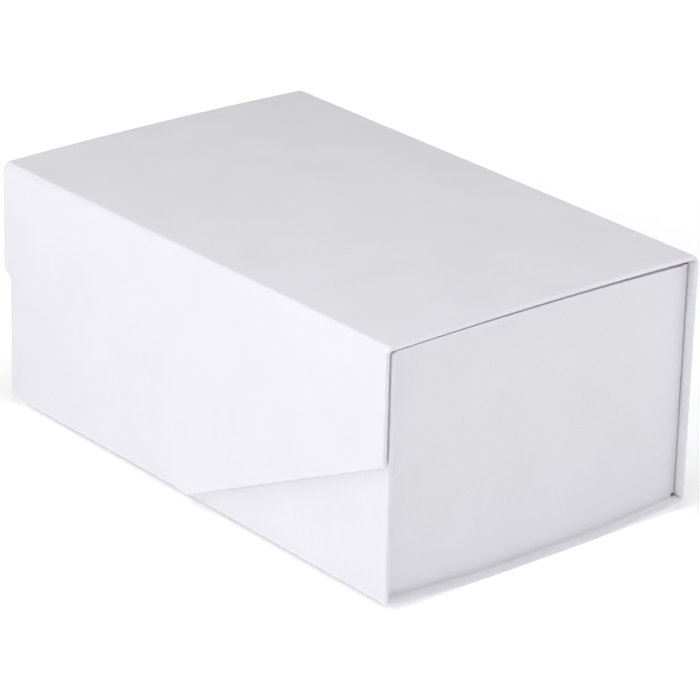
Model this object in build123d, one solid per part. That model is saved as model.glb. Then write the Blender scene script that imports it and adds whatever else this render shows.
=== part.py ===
from build123d import *
from math import asin, degrees, sqrt
import os

# Rigid gift box with a hinged lid and a pointed magnetic flap.
# Millimetres. +X along the width, +Z up, the flap faces -Y, and the table is z = 0.

# Driving dimensions
box_width = 230.0            # over the ends of the case panels
body_depth = 146.5           # front wall's outer face to back wall's outer face
corner_height = 99.2         # lower outer corners to upper outer corners of the case
lid_crown = 1.0              # how far the lid arches up between its two folds
base_bow = 3.3               # how far the base bows down between its two folds
base_flat = 30.0             # flat strip in the middle of the base that rests on the table
board = 1.5                  # greyboard
paper = 0.15                 # wrap paper or lining paper, with its glue
flap_gap = 1.0               # air between the closed flap and the front wall
top_fold_radius = 2.8        # outside of the folds at the lid's front and rear edges
base_fold_radius = 2.0       # outside of the folds under the front and back walls
corner_fold_radius = 1.8     # outside of the folds between an end wall and its ears
edge_radius = 0.7            # paper rounding over a board's cut edge
lining_border = 3.0          # turned-in wrap left showing round a lining
end_recess = 3.2             # end walls stand this far inside the case's ends
wall_top_clearance = 1.95    # end wall's front top corner below the lid's underside there
wall_top_drop = 0.6          # end walls are cut this much lower at the rear
wall_top_crown = 0.9         # and this much higher in the middle, following the lid
wall_top_steps = 8           # straight cuts that make the crowned top edge
foot_gap = 0.5               # end wall's foot above the base at its front and rear corners
front_top_clearance = 0.7    # front wall's top edge below the lid's underside

flap_side_height = 44.5      # straight part of the flap's sides, from the top corner down
flap_tip_width = 5.0
flap_tip_lift = 2.0          # flap's tip above the lower corners
flap_tip_radius = 2.0
flap_shoulder_radius = 1.5
magnet_offset = 28.0         # magnets and plates stand this far each side of the middle
magnet_above_tip = 28.0
magnet_radius = 6.0
magnet_thickness = 1.3
plate_radius = 7.0
plate_thickness = 0.8

ear_length = 30.0            # from the corner fold to the ear's free edge
ear_low_inset = 1.3          # ear's root starts this far above the wall's foot
ear_high_inset = 3.0         # and stops this far below the wall's rear top corner
ear_taper = 12.0             # ear's free edge is this much shorter again at each end
tape_thickness = 0.3
tape_width = 18.0
tape_length = 62.0

# Derived sizes and places
panel = board + 2 * paper
half_width = box_width / 2
half_depth = (body_depth + flap_gap + panel) / 2
flap_face_y = -half_depth
front_face_y = half_depth - body_depth
back_face_y = half_depth
base_middle_y = (front_face_y + back_face_y) / 2
corner_z = base_bow + corner_height

lid_half_span = half_depth - top_fold_radius
lid_radius = (lid_half_span ** 2 + lid_crown ** 2) / (2 * lid_crown)
lid_centre = (0, corner_z + lid_crown - lid_radius)
top_fold_z = lid_centre[1] + sqrt((lid_radius - top_fold_radius) ** 2 - lid_half_span ** 2)
lid_tilt = degrees(asin(lid_half_span / (lid_radius - top_fold_radius)))

base_rise_run = (body_depth - base_flat) / 2
base_radius = (base_rise_run ** 2 + base_bow ** 2) / (2 * base_bow)
base_fold_run = base_rise_run - base_fold_radius
base_fold_z = base_radius - sqrt((base_radius - base_fold_radius) ** 2 - base_fold_run ** 2)
base_tilt = degrees(asin(base_fold_run / (base_radius - base_fold_radius)))
base_front_y = base_middle_y - base_flat / 2
base_rear_y = base_middle_y + base_flat / 2

front_top_z = corner_z - panel - front_top_clearance
flap_tip_z = base_bow + flap_tip_lift
flap_shoulder_z = corner_z - flap_side_height

wall_face_x = half_width - end_recess
wall_inner_x = wall_face_x - panel
wall_foot_z = base_bow + panel + foot_gap
wall_front_top_z = corner_z - panel - wall_top_clearance
wall_rear_top_z = wall_front_top_z - wall_top_drop
front_corner_y = front_face_y + panel + tape_thickness + corner_fold_radius
rear_corner_y = back_face_y - panel - tape_thickness - corner_fold_radius
corner_x = wall_face_x - corner_fold_radius
ear_low_z = wall_foot_z + ear_low_inset
ear_high_z = wall_rear_top_z - ear_high_inset


def sector(centre, r_in, r_out, start, end):
    """Flat ring sector between two angles, in degrees from the first axis of its plane."""
    outer = CenterArc(centre, r_out, start, end - start)
    inner = CenterArc(centre, r_in, start, end - start)
    near_side = Line(inner @ 0, outer @ 0)
    far_side = Line(inner @ 1, outer @ 1)
    return make_face([outer, inner, near_side, far_side])


def flat(low, high):
    """Rectangle between two corners."""
    size = (high[0] - low[0], high[1] - low[1])
    middle = ((low[0] + high[0]) / 2, (low[1] + high[1]) / 2)
    return Location((middle[0], middle[1])) * Rectangle(size[0], size[1])


def across(section, reach):
    """Section drawn in Y and Z, drawn out along X to both sides."""
    return extrude(Plane.YZ * section, amount=reach, both=True)


def block(low, high):
    """Box between two corners."""
    size = [b - a for a, b in zip(low, high)]
    middle = [(a + b) / 2 for a, b in zip(low, high)]
    return Location(middle) * Box(*size)


def round_width_ends(solid, reach, radius):
    """Round the long edges at both X ends, where paper turns over the board."""
    ends = [e for e in solid.edges() if abs(abs(e.center().X) - reach) < 1e-4 and e.length > 2 * panel]
    return fillet(ends, radius)


def round_top(solid, top_z, radius):
    """Round the free top edges that run along X."""
    tops = [e for e in solid.edges().filter_by(Axis.X) if abs(e.center().Z - top_z) < 1e-4]
    return fillet(tops, radius)


def mirrored(solid):
    return mirror(solid, about=Plane.YZ)


# Lid: three concentric arched layers

def lid_layer(r_in, r_out, shorten):
    """Arched lid section between two radii, stopped short of both folds by an arc length."""
    tilt = lid_tilt - degrees(shorten / lid_radius)
    return sector(lid_centre, r_in, r_out, 90 - tilt, 90 + tilt)


def lid_board():
    plain = across(lid_layer(lid_radius - paper - board, lid_radius - paper, paper), half_width - paper)
    return round_width_ends(plain, half_width - paper, edge_radius - paper)


def lid_lining():
    return across(lid_layer(lid_radius - panel, lid_radius - panel + paper, 0), half_width - lining_border)


def lid_wrap():
    plain = across(lid_layer(lid_radius - panel, lid_radius, 0), half_width)
    return round_width_ends(plain, half_width, edge_radius) - lid_board() - lid_lining()


def flap_fold():
    """Paper bridge round the lid's front edge; it bends when the flap opens."""
    centre = (-lid_half_span, top_fold_z)
    bridge = sector(centre, top_fold_radius - 2 * paper, top_fold_radius, 90 + lid_tilt, 180)
    return across(bridge, half_width)


def lid_fold():
    """Paper bridge round the lid's rear edge; it bends when the lid opens."""
    centre = (lid_half_span, top_fold_z)
    bridge = sector(centre, top_fold_radius - 2 * paper, top_fold_radius, 0, 90 - lid_tilt)
    return across(bridge, half_width)


# Flap: a flat panel with a pointed lower edge

def flap_outline(inset):
    """Five-sided outline in X and Z, moved in from every free edge."""
    shoulder = (half_width, flap_shoulder_z)
    tip = (flap_tip_width / 2, flap_tip_z)
    points = [
        (-half_width, top_fold_z),
        (-shoulder[0], shoulder[1]),
        (-tip[0], tip[1]),
        tip,
        shoulder,
        (half_width, top_fold_z),
    ]
    outline = make_face(Polyline(*points, close=True))
    corners = outline.vertices()
    tips = [v for v in corners if abs(v.Y - flap_tip_z) < 1e-4]
    outline = fillet(tips, flap_tip_radius)
    shoulders = [v for v in outline.vertices() if abs(v.Y - flap_shoulder_z) < 1e-4]
    outline = fillet(shoulders, flap_shoulder_radius)
    if inset > 0:
        outline = offset(outline, amount=-inset)
    return outline


def flap_slab(inset, near_y, far_y):
    """Flap outline drawn out along Y between two places."""
    plane = Plane(origin=(0, far_y, 0), x_dir=(1, 0, 0), z_dir=(0, -1, 0))
    return extrude(plane * flap_outline(inset), amount=far_y - near_y)


def round_flap(solid, radius):
    """Round the edges of both faces, except along the fold."""
    top_z = solid.bounding_box().max.Z
    rims = [e for e in solid.edges() if e.length > 2 * panel or e.geom_type != GeomType.LINE]
    rims = [e for e in rims if e.bounding_box().min.Z < top_z - 1e-3]
    rims = [e for e in rims if e.bounding_box().size.Y < 1e-3]
    return fillet(rims, radius)


def magnet_place(side, y):
    """Plane of a magnet or plate on one side, facing out of the box."""
    place = (side * magnet_offset, y, flap_tip_z + magnet_above_tip)
    return Plane(origin=place, x_dir=(1, 0, 0), z_dir=(0, -1, 0))


def disc(side, near_y, far_y, radius):
    return extrude(magnet_place(side, far_y) * Circle(radius), amount=far_y - near_y)


def flap_magnet(side):
    inner_y = flap_face_y + paper + board
    return disc(side, inner_y - magnet_thickness, inner_y, magnet_radius)


def flap_board():
    plain = flap_slab(paper, flap_face_y + paper, flap_face_y + paper + board)
    plain = round_flap(plain, edge_radius - paper)
    return plain - flap_magnet(-1) - flap_magnet(1)


def flap_lining():
    inner_y = flap_face_y + panel
    plain = flap_slab(lining_border, inner_y - paper, inner_y)
    strip_low = (-half_width + lining_border, inner_y - paper, top_fold_z - 2 * lining_border)
    strip_high = (half_width - lining_border, inner_y, top_fold_z)
    return plain + block(strip_low, strip_high)


def flap_wrap():
    plain = round_flap(flap_slab(0, flap_face_y, flap_face_y + panel), edge_radius)
    return plain - flap_board() - flap_lining() - flap_magnet(-1) - flap_magnet(1)


# Front wall

def front_plate(side):
    outer_y = front_face_y + paper
    return disc(side, outer_y, outer_y + plate_thickness, plate_radius)


def front_board():
    section = flat((front_face_y + paper, base_fold_z + paper), (front_face_y + paper + board, front_top_z - paper))
    plain = round_top(across(section, half_width - paper), front_top_z - paper, edge_radius - paper)
    plain = round_width_ends(plain, half_width - paper, edge_radius - paper)
    return plain - front_plate(-1) - front_plate(1)


def front_lining():
    inner_y = front_face_y + panel
    section = flat((inner_y - paper, base_fold_z), (inner_y, front_top_z - lining_border))
    return across(section, half_width - lining_border)


def front_wrap():
    section = flat((front_face_y, base_fold_z), (front_face_y + panel, front_top_z))
    plain = round_top(across(section, half_width), front_top_z, edge_radius)
    plain = round_width_ends(plain, half_width, edge_radius)
    return plain - front_board() - front_lining() - front_plate(-1) - front_plate(1)


# Back wall

def back_board():
    section = flat((back_face_y - paper - board, base_fold_z + paper), (back_face_y - paper, top_fold_z - paper))
    return round_width_ends(across(section, half_width - paper), half_width - paper, edge_radius - paper)


def back_lining():
    inner_y = back_face_y - panel
    section = flat((inner_y, base_fold_z), (inner_y + paper, top_fold_z))
    return across(section, half_width - lining_border)


def back_wrap():
    section = flat((back_face_y - panel, base_fold_z), (back_face_y, top_fold_z))
    plain = round_width_ends(across(section, half_width), half_width, edge_radius)
    return plain - back_board() - back_lining()


# Base: flat in the middle, curving up to both folds

def base_layer(low_z, high_z, shorten):
    """Base section between two heights above its lowest face, stopped short of both folds."""
    tilt = base_tilt - degrees(shorten / base_radius)
    r_in = base_radius - high_z
    r_out = base_radius - low_z
    front = sector((base_front_y, base_radius), r_in, r_out, 270 - tilt, 270)
    rear = sector((base_rear_y, base_radius), r_in, r_out, 270, 270 + tilt)
    return front + flat((base_front_y, low_z), (base_rear_y, high_z)) + rear


def base_board():
    plain = across(base_layer(paper, paper + board, paper), half_width - paper)
    return round_width_ends(plain, half_width - paper, edge_radius - paper)


def base_lining():
    return across(base_layer(panel - paper, panel, 0), half_width - lining_border)


def base_wrap():
    plain = round_width_ends(across(base_layer(0, panel, 0), half_width), half_width, edge_radius)
    return plain - base_board() - base_lining()


def base_fold(centre_y, start, end):
    """Paper bridge between the base and a wall that stands on its edge."""
    centre = (centre_y, base_fold_z)
    return across(sector(centre, base_fold_radius - 2 * paper, base_fold_radius, start, end), half_width)


def front_base_fold():
    return base_fold(front_face_y + base_fold_radius, 180, 270 - base_tilt)


def back_base_fold():
    return base_fold(back_face_y - base_fold_radius, 270 + base_tilt, 360)


# End walls with two ears each, drawn on the +X side

def wall_outline(inset_low, inset_high):
    """End wall in Y and Z; its top edge falls towards the rear and is slightly crowned."""
    points = [(rear_corner_y, wall_foot_z + inset_low), (front_corner_y, wall_foot_z + inset_low)]
    for step in range(wall_top_steps + 1):
        t = step / wall_top_steps
        y = front_corner_y + (rear_corner_y - front_corner_y) * t
        crown = wall_top_crown * 4 * t * (1 - t)
        points.append((y, wall_front_top_z - wall_top_drop * t + crown - inset_high))
    return make_face(Polyline(*points, close=True))


def wall_layer(near_x, far_x, inset_low, inset_high):
    plane = Plane(origin=(near_x, 0, 0), x_dir=(0, 1, 0), z_dir=(1, 0, 0))
    return extrude(plane * wall_outline(inset_low, inset_high), amount=far_x - near_x)


def ear_layer(near_y, far_y, inset):
    """Ear panel on the +X side, tapering to its free edge."""
    root_x = corner_x
    tip_x = corner_x - ear_length + inset
    points = [
        (root_x, ear_low_z + inset),
        (root_x, ear_high_z - inset),
        (tip_x, ear_high_z - ear_taper - inset),
        (tip_x, ear_low_z + ear_taper + inset),
    ]
    plane = Plane(origin=(0, far_y, 0), x_dir=(1, 0, 0), z_dir=(0, -1, 0))
    return extrude(plane * make_face(Polyline(*points, close=True)), amount=far_y - near_y)


def corner_bridge(centre_y, start, r_in, r_out):
    """Quarter-round paper bridge from the end wall to an ear."""
    bridge = sector((corner_x, centre_y), r_in, r_out, start, start + 90)
    return extrude(Plane.XY.offset(ear_low_z) * bridge, amount=ear_high_z - ear_low_z)


front_ear_face_y = front_corner_y - corner_fold_radius
rear_ear_face_y = rear_corner_y + corner_fold_radius


def end_board():
    return wall_layer(wall_inner_x + paper, wall_face_x - paper, paper, paper)


def front_ear_board():
    board_y = front_ear_face_y + paper
    return ear_layer(board_y, board_y + board, paper)


def rear_ear_board():
    board_y = rear_ear_face_y - paper
    return ear_layer(board_y - board, board_y, paper)


def end_lining():
    return wall_layer(wall_inner_x, wall_inner_x + paper, 0, lining_border)


def end_wrap():
    """Wrap of one end wall, turned over its top edge, round both corners and over both ears."""
    wall = wall_layer(wall_inner_x, wall_face_x, 0, 0) - end_board() - end_lining()
    front_corner = corner_bridge(front_corner_y, 270, corner_fold_radius - 2 * paper, corner_fold_radius)
    rear_corner = corner_bridge(rear_corner_y, 0, corner_fold_radius - 2 * paper, corner_fold_radius)
    front_ear = ear_layer(front_ear_face_y, front_ear_face_y + panel, 0) - front_ear_board()
    rear_ear = ear_layer(rear_ear_face_y - panel, rear_ear_face_y, 0) - rear_ear_board()
    return wall + front_corner + rear_corner + front_ear + rear_ear


def foot_fold():
    """Paper hinge between the base and the foot of an end wall, following the base's bow."""
    under_wall = flat((front_corner_y, 0), (rear_corner_y, wall_foot_z))
    strip = under_wall - base_layer(-base_bow, panel, 0)
    plane = Plane(origin=(wall_face_x - 2 * paper, 0, 0), x_dir=(0, 1, 0), z_dir=(1, 0, 0))
    return extrude(plane * strip, amount=2 * paper)


def ear_tape(wall_side_y, ear_side_y):
    """Double-sided tape between an ear and the wall that it is stuck to."""
    middle_x = corner_x - ear_length / 2
    middle_z = (ear_low_z + ear_high_z) / 2
    low = (middle_x - tape_width / 2, wall_side_y, middle_z - tape_length / 2)
    high = (middle_x + tape_width / 2, ear_side_y, middle_z + tape_length / 2)
    return block(low, high)


def front_ear_tape():
    return ear_tape(front_face_y + panel, front_ear_face_y)


def rear_ear_tape():
    return ear_tape(rear_ear_face_y, back_face_y - panel)


single_parts = {
    "lid_board": lid_board,
    "lid_wrap": lid_wrap,
    "lid_lining": lid_lining,
    "lid_fold": lid_fold,
    "flap_board": flap_board,
    "flap_wrap": flap_wrap,
    "flap_lining": flap_lining,
    "flap_fold": flap_fold,
    "front_board": front_board,
    "front_wrap": front_wrap,
    "front_lining": front_lining,
    "back_board": back_board,
    "back_wrap": back_wrap,
    "back_lining": back_lining,
    "base_board": base_board,
    "base_wrap": base_wrap,
    "base_lining": base_lining,
    "front_base_fold": front_base_fold,
    "back_base_fold": back_base_fold,
}
paired_parts = {
    "end_board": end_board,
    "end_wrap": end_wrap,
    "end_lining": end_lining,
    "front_ear_board": front_ear_board,
    "rear_ear_board": rear_ear_board,
    "front_ear_tape": front_ear_tape,
    "rear_ear_tape": rear_ear_tape,
    "foot_fold": foot_fold,
}
disc_parts = {
    "flap_magnet": flap_magnet,
    "front_plate": front_plate,
}

os.makedirs("parts", exist_ok=True)
for name, make in single_parts.items():
    export_step(make(), f"parts/{name}.step")
for name, make in paired_parts.items():
    right = make()
    export_step(right, f"parts/right_{name}.step")
    export_step(mirrored(right), f"parts/left_{name}.step")
for name, make in disc_parts.items():
    export_step(make(-1), f"parts/left_{name}.step")
    export_step(make(1), f"parts/right_{name}.step")
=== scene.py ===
import bmesh
import bpy
import math
from mathutils import Matrix, Vector
from mathutils import noise as noise_field


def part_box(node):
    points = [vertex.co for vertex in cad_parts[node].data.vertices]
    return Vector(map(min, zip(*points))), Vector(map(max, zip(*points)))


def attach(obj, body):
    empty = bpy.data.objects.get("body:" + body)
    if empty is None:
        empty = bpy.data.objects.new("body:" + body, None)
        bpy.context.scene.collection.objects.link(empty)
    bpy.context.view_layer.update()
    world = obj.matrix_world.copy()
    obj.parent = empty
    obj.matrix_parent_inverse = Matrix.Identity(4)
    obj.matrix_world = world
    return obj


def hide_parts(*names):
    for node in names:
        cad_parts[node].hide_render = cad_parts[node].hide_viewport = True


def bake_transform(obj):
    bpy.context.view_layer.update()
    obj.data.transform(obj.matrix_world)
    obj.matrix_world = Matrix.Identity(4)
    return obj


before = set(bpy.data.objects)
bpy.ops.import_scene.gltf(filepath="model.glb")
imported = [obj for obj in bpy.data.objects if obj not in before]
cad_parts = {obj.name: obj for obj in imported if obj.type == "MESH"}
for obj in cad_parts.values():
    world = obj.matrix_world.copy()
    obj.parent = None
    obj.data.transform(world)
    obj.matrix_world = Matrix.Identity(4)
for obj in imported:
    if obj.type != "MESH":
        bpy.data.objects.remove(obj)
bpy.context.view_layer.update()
MM = 0.001


# ---------------------------------------------------------------- materials

# sockets of a Mix node that is set to colour
MIX_FACTOR = 0
MIX_FIRST = 6
MIX_SECOND = 7
MIX_RESULT = 2

# texture scales, in features per metre
CLOUD_SCALE = 45
SAG_SCALE = 18
FIBRE_SCALE = 2600
TOOTH_SCALE = 5200
FLECK_SCALE = 900
BOARD_FIBRE_SCALE = 1500
LINER_WAVE_SCALE = 260
SCRATCH_SCALE = 1400

# bump heights
SAG_HEIGHT = 0.60 * MM
FIBRE_HEIGHT = 0.02 * MM
TOOTH_HEIGHT = 0.01 * MM
BOARD_FIBRE_HEIGHT = 0.08 * MM
LINER_WAVE_HEIGHT = 0.10 * MM
SCRATCH_HEIGHT = 0.01 * MM


def new_material(name):
    """Empty node material with a Principled shader; returns the material, its node tree and the shader."""
    material = bpy.data.materials.new(name)
    material.use_nodes = True
    tree = material.node_tree
    tree.nodes.clear()
    output = tree.nodes.new("ShaderNodeOutputMaterial")
    shader = tree.nodes.new("ShaderNodeBsdfPrincipled")
    tree.links.new(shader.outputs["BSDF"], output.inputs["Surface"])
    return material, tree, shader


def noise(tree, scale, detail=2.0, roughness=0.5, stretch=(1, 1, 1)):
    """Noise in object space, in features per metre, stretched along the axes; returns its 0 to 1 output."""
    coords = tree.nodes.new("ShaderNodeTexCoord")
    mapping = tree.nodes.new("ShaderNodeMapping")
    mapping.inputs["Scale"].default_value = stretch
    texture = tree.nodes.new("ShaderNodeTexNoise")
    texture.inputs["Scale"].default_value = scale
    texture.inputs["Detail"].default_value = detail
    texture.inputs["Roughness"].default_value = roughness
    tree.links.new(coords.outputs["Object"], mapping.inputs["Vector"])
    tree.links.new(mapping.outputs["Vector"], texture.inputs["Vector"])
    return texture.outputs["Fac"]


def ramp(tree, source, stops):
    """Colour ramp over a 0 to 1 value; stops are (place, colour) pairs."""
    node = tree.nodes.new("ShaderNodeValToRGB")
    elements = node.color_ramp.elements
    while len(elements) < len(stops):
        elements.new(0.5)
    for element, (place, colour) in zip(elements, stops):
        element.position = place
        element.color = (*colour, 1.0)
    tree.links.new(source, node.inputs["Fac"])
    return node.outputs["Color"]


def spread(tree, source, low, high, start=0.0, end=1.0):
    """Value from start to end moved on to low to high, and held beyond both ends."""
    node = tree.nodes.new("ShaderNodeMapRange")
    node.inputs["From Min"].default_value = start
    node.inputs["From Max"].default_value = end
    node.inputs["To Min"].default_value = low
    node.inputs["To Max"].default_value = high
    tree.links.new(source, node.inputs["Value"])
    return node.outputs["Result"]


def multiply(tree, first, second):
    """One colour times another."""
    node = tree.nodes.new("ShaderNodeMix")
    node.data_type = "RGBA"
    node.blend_type = "MULTIPLY"
    node.inputs[MIX_FACTOR].default_value = 1.0
    tree.links.new(first, node.inputs[MIX_FIRST])
    tree.links.new(second, node.inputs[MIX_SECOND])
    return node.outputs[MIX_RESULT]


def combine(tree, operation, *values):
    """Math node over one or two values."""
    node = tree.nodes.new("ShaderNodeMath")
    node.operation = operation
    for value, socket in zip(values, node.inputs):
        tree.links.new(value, socket)
    return node.outputs[0]


def bump(tree, height, distance, strength, below=None):
    node = tree.nodes.new("ShaderNodeBump")
    node.inputs["Distance"].default_value = distance
    node.inputs["Strength"].default_value = strength
    tree.links.new(height, node.inputs["Height"])
    if below is not None:
        tree.links.new(below, node.inputs["Normal"])
    return node.outputs["Normal"]


def paper_material(name, base, shade, rough_low, rough_high):
    """Smooth white paper with a matte film: faint cloudy formation, short fibres, and a soft satin gloss."""
    material, tree, shader = new_material(name)
    cloud = noise(tree, CLOUD_SCALE, 3.0, 0.55)
    fibre = noise(tree, FIBRE_SCALE, 2.0, 0.6, (1.0, 0.35, 1.0))
    tooth = noise(tree, TOOTH_SCALE, 1.0)
    tone = ramp(tree, cloud, [(0.30, shade), (0.70, base)])
    speck = ramp(tree, fibre, [(0.25, (0.965, 0.965, 0.972)), (0.55, (1.0, 1.0, 1.0))])
    tree.links.new(multiply(tree, tone, speck), shader.inputs["Base Color"])
    tree.links.new(spread(tree, cloud, rough_low, rough_high), shader.inputs["Roughness"])
    sag = noise(tree, SAG_SCALE, 1.0)
    swell = bump(tree, sag, SAG_HEIGHT, 0.35)
    grain = bump(tree, fibre, FIBRE_HEIGHT, 0.30, swell)
    tree.links.new(bump(tree, tooth, TOOTH_HEIGHT, 0.25, grain), shader.inputs["Normal"])
    shader.inputs["Specular IOR Level"].default_value = 0.38
    shader.inputs["Sheen Weight"].default_value = 0.04
    shader.inputs["Sheen Roughness"].default_value = 0.6
    return material


WRAP = paper_material("wrap_paper", (0.866, 0.856, 0.902), (0.842, 0.832, 0.877), 0.42, 0.52)
LINING = paper_material("lining_paper", (0.83, 0.83, 0.845), (0.80, 0.80, 0.815), 0.62, 0.74)


def greyboard_material():
    """Recycled board: grey-brown with dark and light flecks and visible fibres."""
    material, tree, shader = new_material("greyboard")
    fleck = noise(tree, FLECK_SCALE, 4.0, 0.7)
    fibre = noise(tree, BOARD_FIBRE_SCALE, 3.0, 0.6, (1.0, 1.0, 5.0))
    tone = ramp(
        tree, fleck,
        [(0.30, (0.20, 0.18, 0.16)), (0.50, (0.34, 0.32, 0.29)), (0.70, (0.46, 0.44, 0.41))],
    )
    streak = ramp(tree, fibre, [(0.35, (0.8, 0.8, 0.8)), (0.65, (1.0, 1.0, 1.0))])
    tree.links.new(multiply(tree, tone, streak), shader.inputs["Base Color"])
    tree.links.new(spread(tree, fleck, 0.82, 0.95), shader.inputs["Roughness"])
    tree.links.new(bump(tree, fibre, BOARD_FIBRE_HEIGHT, 0.6), shader.inputs["Normal"])
    return material


def tape_material():
    """Waxed release liner over the tape's adhesive."""
    material, tree, shader = new_material("tape")
    wave = noise(tree, LINER_WAVE_SCALE, 2.0)
    tone = ramp(tree, wave, [(0.3, (0.74, 0.66, 0.44)), (0.7, (0.82, 0.75, 0.55))])
    tree.links.new(tone, shader.inputs["Base Color"])
    tree.links.new(spread(tree, wave, 0.28, 0.40), shader.inputs["Roughness"])
    tree.links.new(bump(tree, wave, LINER_WAVE_HEIGHT, 0.3), shader.inputs["Normal"])
    return material


def metal_material(name, dark, bright, rough_low, rough_high, stretch):
    """Plated or brushed metal with fine scratches."""
    material, tree, shader = new_material(name)
    scratch = noise(tree, SCRATCH_SCALE, 3.0, 0.6, stretch)
    tree.links.new(ramp(tree, scratch, [(0.3, dark), (0.7, bright)]), shader.inputs["Base Color"])
    tree.links.new(spread(tree, scratch, rough_low, rough_high), shader.inputs["Roughness"])
    tree.links.new(bump(tree, scratch, SCRATCH_HEIGHT, 0.4), shader.inputs["Normal"])
    shader.inputs["Metallic"].default_value = 1.0
    return material


BOARD = greyboard_material()
TAPE = tape_material()
MAGNET = metal_material("magnet", (0.60, 0.58, 0.55), (0.74, 0.72, 0.69), 0.16, 0.28, (1, 1, 1))
PLATE = metal_material("steel_plate", (0.42, 0.42, 0.43), (0.58, 0.58, 0.59), 0.30, 0.46, (12, 1, 1))


def dress(name, node):
    """Give a CAD node its material by what it is made of."""
    if name.endswith("_magnet"):
        material = MAGNET
    elif name.endswith("_plate"):
        material = PLATE
    elif name.endswith("_tape"):
        material = TAPE
    elif name.endswith("_board"):
        material = BOARD
    elif name.endswith("_lining"):
        material = LINING
    else:
        material = WRAP
    if not node.material_slots:
        node.data.materials.append(material)
    for place in node.material_slots:
        place.material = material


for node_name, node_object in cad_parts.items():
    dress(node_name, node_object)

# ---------------------------------------------------------------- paper folds

PAPER = 0.30 * MM            # wrap and lining glued together
PANEL = 1.80 * MM            # wrapped board
EDGE_RADIUS = 0.70 * MM      # paper rounding over a cut edge
RIM_WIDTH = 1.70 * MM        # turned-in wrap thickens a fold this far in from each end
RIM_DEPTH = 1.50 * MM
RIM_SLOPE = 0.60 * MM        # width of the step down from the rim to the bare paper
TOP_FOLD_RADIUS = 2.80 * MM
TOP_FOLD_CREASE = 0.62 * MM  # each crease of a top fold takes this much of both sides
BASE_FOLD_RADIUS = 2.00 * MM
BASE_FLAT = 30.0 * MM
BASE_BOW = 3.3 * MM
HINGE_COVE = 0.85 * MM       # rounding where an end wall's foot paper meets the base
HINGE_TAIL = 0.50 * MM       # flat run on the base past that rounding
HINGE_LIFT = 0.03 * MM       # and its height above the base's wrap
HINGE_INSET = 0.70           # inner face of that paper, in paper thicknesses
CORNER_FOLD_RADIUS = 1.80 * MM
CORNER_TIGHT_RADIUS = 0.95 * MM
CORNER_OVERLAP = 1.2 * MM    # corner paper runs this far on to the wall's face
PROUD = 0.02 * MM            # starts this far inside that face, then stands this far off it
CORNER_TUCK = 0.2            # share of its thickness that its inner face is tucked in as it leaves the face
EAR_TOP_DROP = 3.15 * MM     # ear board's top below the end wall's rear top corner
WALL_TOP_DROP = 0.6 * MM     # and that corner below the front one
REAR_HOLE = 0.6 * MM         # open corner left at the foot of each rear corner
FRONT_FOOT_GAP = 0.3 * MM    # corner paper's ends, short of the front corners' foot and top
FRONT_TOP_GAP = 0.5 * MM
REAR_TOP_LAP = 0.4 * MM      # and past the rear corners' top
TOP_RIPPLE = 0.05 * MM       # how far paper waves along a top fold, a base fold, a foot and a corner
BASE_RIPPLE = 0.03 * MM
FOOT_RIPPLE = 0.05 * MM
CORNER_RIPPLE = 0.04 * MM
RIPPLE_ALONG = 60            # waves per metre of noise along a fold, at a foot and up a corner
FOOT_RIPPLE_ALONG = 70
CORNER_RIPPLE_ALONG = 90
RIPPLE_ROUND = 0.35          # noise per step round a fold
RIPPLE_SLICE = 40            # picks the slice of noise that the folds share
SHARP_ANGLE = math.radians(35)
ARC_STEPS = 12
ROUND_STEPS = 5
ACROSS_STEPS = 92
HINGE_STEPS = 96
CORNER_STEPS = 48


def fractal_noise(place):
    return noise_field.fractal(Vector(place), 1.0, 2.0, 3)


def paper_skin(name, rings):
    """Closed paper mesh over a row of matching rings of points, with both ends capped."""
    count = len(rings[0])
    faces = []
    for step in range(len(rings) - 1):
        near = step * count
        far = near + count
        for i in range(count):
            j = (i + 1) % count
            faces.append((near + i, near + j, far + j, far + i))
    last = (len(rings) - 1) * count
    faces.append(tuple(range(count)))
    faces.append(tuple(last + i for i in reversed(range(count))))
    mesh = bpy.data.meshes.new(name)
    mesh.from_pydata([tuple(point) for ring in rings for point in ring], [], faces)
    mesh.validate()
    build = bmesh.new()
    build.from_mesh(mesh)
    bmesh.ops.recalc_face_normals(build, faces=build.faces)
    build.to_mesh(mesh)
    build.free()
    piece = bpy.data.objects.new(name, mesh)
    bpy.context.scene.collection.objects.link(piece)
    mesh.materials.append(WRAP)
    for face in mesh.polygons:
        face.use_smooth = True
    mesh.set_sharp_from_angle(angle=SHARP_ANGLE)
    return piece


def arc(centre, radius, start, end):
    """Points in Y and Z along an arc, angles in radians from +Y."""
    points = []
    for step in range(ARC_STEPS + 1):
        angle = start + (end - start) * step / ARC_STEPS
        points.append(Vector((centre[0] + radius * math.cos(angle), centre[1] + radius * math.sin(angle))))
    return points


def curve(first, pull, last):
    """Quadratic curve between two points, pulled towards a third."""
    points = []
    for step in range(ARC_STEPS // 2 + 1):
        t = step / (ARC_STEPS // 2)
        points.append(first * (1 - t) ** 2 + pull * 2 * t * (1 - t) + last * t ** 2)
    return points


def creased(path):
    """Board edges press two creases into a fold, with a flatter face between them."""
    first, last = path[0], path[-1]
    out = (path[1] - first).normalized()
    home = (path[-2] - last).normalized()
    near = first + out * TOP_FOLD_CREASE
    far = last + home * TOP_FOLD_CREASE
    along = (far - near).normalized()
    middle = near + along * TOP_FOLD_CREASE
    other = far - along * TOP_FOLD_CREASE
    return curve(first, near, middle) + curve(other, far, last)


def outward(path, inside):
    """Unit normals of a path, on the side away from a point inside the fold."""
    normals = []
    for step, point in enumerate(path):
        before = path[max(step - 1, 0)]
        after = path[min(step + 1, len(path) - 1)]
        along = (after - before).normalized()
        normal = Vector((-along.y, along.x))
        if normal.dot(point - inside) < 0:
            normal = -normal
        normals.append(normal)
    return normals


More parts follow.
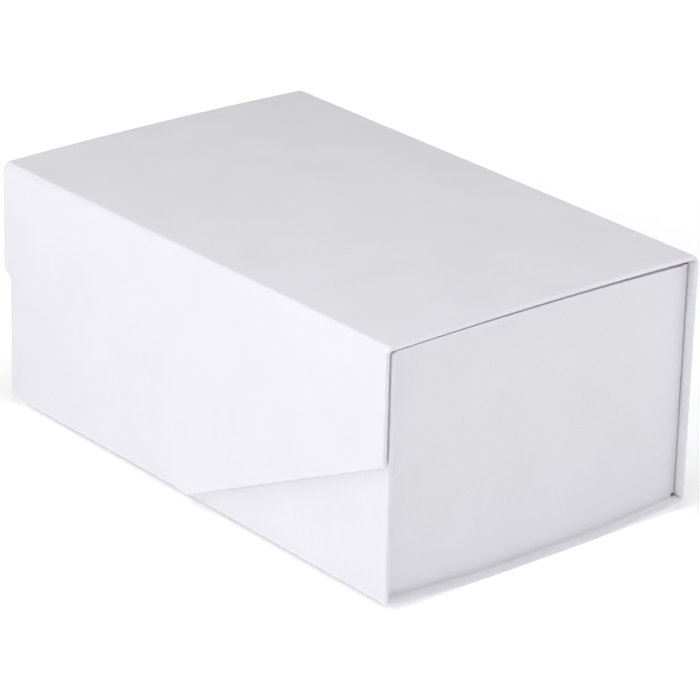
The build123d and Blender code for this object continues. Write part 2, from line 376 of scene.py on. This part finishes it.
def fold_section(half_width):
    """Closed loop of a fold across its width: (x, depth below the outer face)."""
    loop = []
    flat_half = half_width - EDGE_RADIUS
    for step in range(ACROSS_STEPS + 1):
        loop.append((-flat_half + 2 * flat_half * step / ACROSS_STEPS, 0.0))
    for step in range(1, ROUND_STEPS + 1):
        angle = math.pi / 2 * step / ROUND_STEPS
        loop.append((flat_half + EDGE_RADIUS * math.sin(angle), EDGE_RADIUS * (1 - math.cos(angle))))
    for step in range(ROUND_STEPS + 1):
        angle = math.pi / 2 * step / ROUND_STEPS
        depth = RIM_DEPTH - EDGE_RADIUS * (1 - math.sin(angle))
        loop.append((flat_half + EDGE_RADIUS * math.cos(angle), depth))
    rim = half_width - RIM_WIDTH
    inner_half = rim - RIM_SLOPE
    loop.append((rim, RIM_DEPTH))
    loop.append((rim - RIM_SLOPE / 2, (RIM_DEPTH + PAPER) / 2))
    loop.append((inner_half, PAPER))
    right_side = loop[ACROSS_STEPS + 1:]
    for step in range(1, ACROSS_STEPS):
        loop.append((inner_half - 2 * inner_half * step / ACROSS_STEPS, PAPER))
    loop += [(-x, depth) for x, depth in reversed(right_side)]
    return loop


def fold_piece(name, path, inside, half_width, ripple):
    """Paper fold swept along a path, with rounded rims at both ends and a faint ripple between."""
    normals = outward(path, inside)
    section = fold_section(half_width)
    rings = []
    for step, (place, normal) in enumerate(zip(path, normals)):
        swell = math.sin(math.pi * step / (len(path) - 1))
        ring = []
        for x, depth in section:
            field = (x * RIPPLE_ALONG, step * RIPPLE_ROUND, half_width * RIPPLE_SLICE)
            wave = fractal_noise(field) * ripple * swell
            spot = place - normal * (depth - wave)
            ring.append((x, spot.x, spot.y))
        rings.append(ring)
    return paper_skin(name, rings)


HALF_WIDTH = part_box("lid_wrap")[1][0]
flap_fold_low, flap_fold_high = (Vector(c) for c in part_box("flap_fold"))
lid_fold_low, lid_fold_high = (Vector(c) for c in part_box("lid_fold"))

# front top fold: lid to flap
front_centre = Vector((flap_fold_low.y + TOP_FOLD_RADIUS, flap_fold_low.z))
front_tilt = math.asin((front_centre.x - flap_fold_high.y) / (TOP_FOLD_RADIUS - PAPER))
front_path = creased(arc(front_centre, TOP_FOLD_RADIUS, math.pi / 2 + front_tilt, math.pi))
flap_fold_piece = fold_piece("flap_fold_paper", front_path, front_centre, HALF_WIDTH, TOP_RIPPLE)
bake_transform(flap_fold_piece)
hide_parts("flap_fold")

# rear top fold: lid to back wall
rear_centre = Vector((lid_fold_high.y - TOP_FOLD_RADIUS, lid_fold_low.z))
rear_tilt = math.asin((lid_fold_low.y - rear_centre.x) / (TOP_FOLD_RADIUS - PAPER))
rear_path = creased(arc(rear_centre, TOP_FOLD_RADIUS, 0, math.pi / 2 - rear_tilt))
lid_fold_piece = fold_piece("lid_fold_paper", rear_path, rear_centre, HALF_WIDTH, TOP_RIPPLE)
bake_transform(lid_fold_piece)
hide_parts("lid_fold")

# folds under the front and back walls
for node, side in (("front_base_fold", -1), ("back_base_fold", 1)):
    low, high = (Vector(c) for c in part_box(node))
    wall_y = low.y if side < 0 else high.y
    base_y = high.y if side < 0 else low.y
    centre = Vector((wall_y - side * BASE_FOLD_RADIUS, high.z))
    tilt = math.asin(side * (base_y - centre.x) / (BASE_FOLD_RADIUS - PAPER))
    if side < 0:
        path = arc(centre, BASE_FOLD_RADIUS, math.pi, 1.5 * math.pi - tilt)
    else:
        path = arc(centre, BASE_FOLD_RADIUS, 2 * math.pi, 1.5 * math.pi + tilt)
    base_piece = fold_piece(node + "_paper", path, centre, HALF_WIDTH, BASE_RIPPLE)
    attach(base_piece, "box")
    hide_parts(node)

# paper hinge along the foot of each end wall
front_face_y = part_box("front_wrap")[0][1]
back_face_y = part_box("back_wrap")[1][1]
base_middle_y = (front_face_y + back_face_y) / 2
base_run = (back_face_y - front_face_y - BASE_FLAT) / 2
base_radius = (base_run ** 2 + BASE_BOW ** 2) / (2 * BASE_BOW)


def base_top(y):
    """Height of the base's upper face at a place along its depth."""
    past = max(abs(y - base_middle_y) - BASE_FLAT / 2, 0)
    return base_radius - math.sqrt((base_radius - PANEL) ** 2 - past ** 2)


def foot_hinge(name, side):
    """Paper strip that drops from an end wall's face and turns out on to the base."""
    low, high = (Vector(c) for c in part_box(name))
    face_x = high.x if side > 0 else low.x
    inset = PAPER * HINGE_INSET
    rings = []
    for step in range(HINGE_STEPS + 1):
        y = low.y + (high.y - low.y) * step / HINGE_STEPS
        ground = base_top(y)
        wander = FOOT_RIPPLE * fractal_noise((side * 3, y * FOOT_RIPPLE_ALONG, 1))
        cove_top = ground + HINGE_COVE
        skirt = [(0.0, high.z), (0.0, cove_top + (high.z - ground - HINGE_COVE) * 0.5)]
        for turn in range(ROUND_STEPS + 1):
            angle = math.pi / 2 * turn / ROUND_STEPS
            skirt.append((HINGE_COVE * (1 - math.cos(angle)), ground + HINGE_COVE * (1 - math.sin(angle))))
        skirt.append((HINGE_COVE + HINGE_TAIL + wander, ground + HINGE_LIFT))
        under = [(out - inset, z - inset) for out, z in skirt]
        under[0] = (-PAPER, high.z)
        rings.append([(face_x + side * out, y, z) for out, z in skirt + under[::-1]])
    piece = paper_skin(name + "_paper", rings)
    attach(piece, "box")
    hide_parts(name)


foot_hinge("left_foot_fold", -1)
foot_hinge("right_foot_fold", 1)


def corner_section(corner_y, end):
    """Closed loop of a corner's paper in plan: (depth behind the wall's face as a negative, y)."""
    turn_y = corner_y + end * (CORNER_FOLD_RADIUS - CORNER_TIGHT_RADIUS)
    outer = [(-PROUD, corner_y - end * CORNER_OVERLAP), (PROUD, (corner_y + turn_y) / 2)]
    for turn in range(2 * ROUND_STEPS + 1):
        angle = math.pi / 2 * turn / (2 * ROUND_STEPS)
        depth = CORNER_TIGHT_RADIUS * (1 - math.cos(angle))
        outer.append((PROUD - depth, turn_y + end * CORNER_TIGHT_RADIUS * math.sin(angle)))
    inner = [(-2 * PROUD, outer[0][1])]
    for depth, y in outer[1:]:
        tuck = min(1, -depth / CORNER_TIGHT_RADIUS + CORNER_TUCK)
        inner.append((depth - PAPER, y - end * PAPER * tuck))
    return outer + inner[::-1]


def corner_paper(name, side, end, low_z, high_z):
    """Wrap drawn tight round an end wall's upright corner, from its face to the ear behind it."""
    low, high = (Vector(c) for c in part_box(("right" if side > 0 else "left") + "_foot_fold"))
    face_x = high.x if side > 0 else low.x
    corner_y = high.y if end > 0 else low.y
    loop = corner_section(corner_y, end)
    rings = []
    for step in range(CORNER_STEPS + 1):
        z = low_z + (high_z - low_z) * step / CORNER_STEPS
        drift = CORNER_RIPPLE * fractal_noise((side * 5, end * 3, z * CORNER_RIPPLE_ALONG))
        ring = []
        for depth, y in loop:
            sway = drift * min(1, -depth / CORNER_TIGHT_RADIUS)
            ring.append((face_x + side * depth, y + sway, z))
        rings.append(ring)
    piece = paper_skin(name, rings)
    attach(piece, "box")


wall_foot_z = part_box("right_foot_fold")[1][2]
front_wall_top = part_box("right_front_ear_board")[1][2] + EAR_TOP_DROP + WALL_TOP_DROP
rear_wall_top = front_wall_top - WALL_TOP_DROP
for side_name, side in (("left", -1), ("right", 1)):
    front_low = wall_foot_z + FRONT_FOOT_GAP
    rear_low = wall_foot_z + REAR_HOLE
    corner_paper(side_name + "_front_corner_paper", side, -1, front_low, front_wall_top - FRONT_TOP_GAP)
    corner_paper(side_name + "_rear_corner_paper", side, 1, rear_low, rear_wall_top + REAR_TOP_LAP)

# ---------------------------------------------------------------- stage, light and camera

FLOOR_SIZE = 12.0
FLOOR_GRAIN_SCALE = 30
GLOW_NEAR = 0.25             # the floor's glow grows between these two distances from the base's middle
GLOW_FAR = 1.0
GLOW_LOW = 0.33
GLOW_HIGH = 1.1
PAINTED_SHADOW_FULL_INSET = 8.0 * MM        # painted shadow: under the box the floor's glow is taken away, so the floor is dark up to this far inside the base's edges
PAINTED_SHADOW_END_INSET = 3.2 * MM         # and from this far inside them the painted shadow has faded out and the floor has its whole glow
ROOM_LIGHT = 0.04


def make_floor():
    """Pale floor that glows towards white away from the box; its glow is taken away under the box and at the
    box's edges, a painted contact shadow.
    """
    bpy.ops.mesh.primitive_plane_add(size=FLOOR_SIZE, location=(0, base_middle_y, 0))
    floor = bpy.context.object
    floor.name = "floor"
    material, tree, shader = new_material("floor")
    grain = noise(tree, FLOOR_GRAIN_SCALE, 3.0)
    tone = ramp(tree, grain, [(0.3, (0.93, 0.93, 0.93)), (0.7, (0.95, 0.95, 0.95))])
    tree.links.new(tone, shader.inputs["Base Color"])
    shader.inputs["Roughness"].default_value = 0.9
    shader.inputs["Specular IOR Level"].default_value = 0.1

    coords = tree.nodes.new("ShaderNodeTexCoord")
    length = tree.nodes.new("ShaderNodeVectorMath")
    length.operation = "LENGTH"
    tree.links.new(coords.outputs["Object"], length.inputs[0])
    glow = spread(tree, length.outputs["Value"], GLOW_LOW, GLOW_HIGH, GLOW_NEAR, GLOW_FAR)

    # painted shadow: the floor's glow is masked off under the box and fades in just inside the base's edges,
    # darkening the floor at the box's foot like a contact shadow
    split = tree.nodes.new("ShaderNodeSeparateXYZ")
    tree.links.new(coords.outputs["Object"], split.inputs[0])
    half_depth = (back_face_y - front_face_y) / 2
    past_painted_shadow = []
    for axis, half in (("X", HALF_WIDTH), ("Y", half_depth)):
        reach = combine(tree, "ABSOLUTE", split.outputs[axis])
        past_painted_shadow.append(spread(tree, reach, 0.0, 1.0, half - PAINTED_SHADOW_FULL_INSET, half - PAINTED_SHADOW_END_INSET))
    outside_painted_shadow = combine(tree, "MAXIMUM", *past_painted_shadow)
    tree.links.new(combine(tree, "MULTIPLY", glow, outside_painted_shadow), shader.inputs["Emission Strength"])
    shader.inputs["Emission Color"].default_value = (1, 1, 1, 1)
    floor.data.materials.append(material)


make_floor()

world = bpy.data.worlds.new("world")
bpy.context.scene.world = world
world.use_nodes = True
background = world.node_tree.nodes["Background"]
background.inputs["Color"].default_value = (1, 1, 1, 1)
background.inputs["Strength"].default_value = ROOM_LIGHT

CENTRE_HEIGHT = 0.05         # the lights face this height
# name: turn from the front towards +X and lift from the floor in degrees, reach and size in metres, watts
SOFTBOXES = {
    "key": (-40, 45, 1.8, 0.4, 6.00),
    "front_fill": (0, 32, 2.0, 0.8, 4.70),
    "near_fill": (20, 25, 1.0, 0.6, 1.55),
    "top": (50, 78, 1.0, 0.6, 5.45),
    "rear_fill": (140, 20, 1.0, 0.6, 2.50),
}


def softbox(name, turn, lift, reach, size, power):
    """Square area light on a sphere about the box, facing its middle."""
    turn = math.radians(turn)
    lift = math.radians(lift)
    middle = Vector((0, 0, CENTRE_HEIGHT))
    place = Vector((
        reach * math.sin(turn) * math.cos(lift),
        -reach * math.cos(turn) * math.cos(lift),
        CENTRE_HEIGHT + reach * math.sin(lift),
    ))
    light = bpy.data.lights.new(name, "AREA")
    light.shape = "SQUARE"
    light.size = size
    light.energy = power
    lamp = bpy.data.objects.new(name, light)
    lamp.location = place
    lamp.rotation_euler = (middle - place).to_track_quat("-Z", "Y").to_euler()
    bpy.context.scene.collection.objects.link(lamp)


for light_name, settings in SOFTBOXES.items():
    softbox(light_name, *settings)

AIM = Vector((0, 0, 53.0 * MM))
AZIMUTH = math.radians(49.887)
ELEVATION = math.radians(22.882)
ROLL = math.radians(1.434)
DISTANCE = 1388.2 * MM
SHIFT_RIGHT = 4.24 * MM
SHIFT_UP = -8.00 * MM
LENS = 187.76
SENSOR_WIDTH = 36
CLIP_END = 20

back = Vector((
    math.sin(AZIMUTH) * math.cos(ELEVATION),
    -math.cos(AZIMUTH) * math.cos(ELEVATION),
    math.sin(ELEVATION),
))
level_right = Vector((math.cos(AZIMUTH), math.sin(AZIMUTH), 0))
level_up = back.cross(level_right)
right = math.cos(ROLL) * level_right + math.sin(ROLL) * level_up
up = math.cos(ROLL) * level_up - math.sin(ROLL) * level_right
camera_data = bpy.data.cameras.new("camera")
camera_data.sensor_width = SENSOR_WIDTH
camera_data.lens = LENS
camera_data.clip_end = CLIP_END
camera = bpy.data.objects.new("camera", camera_data)
turn = Matrix((right, up, back)).transposed().to_4x4()
camera.matrix_world = Matrix.Translation(AIM + DISTANCE * back + SHIFT_RIGHT * right + SHIFT_UP * up) @ turn
bpy.context.scene.collection.objects.link(camera)
bpy.context.scene.camera = camera
bpy.context.scene.view_settings.view_transform = "Standard"
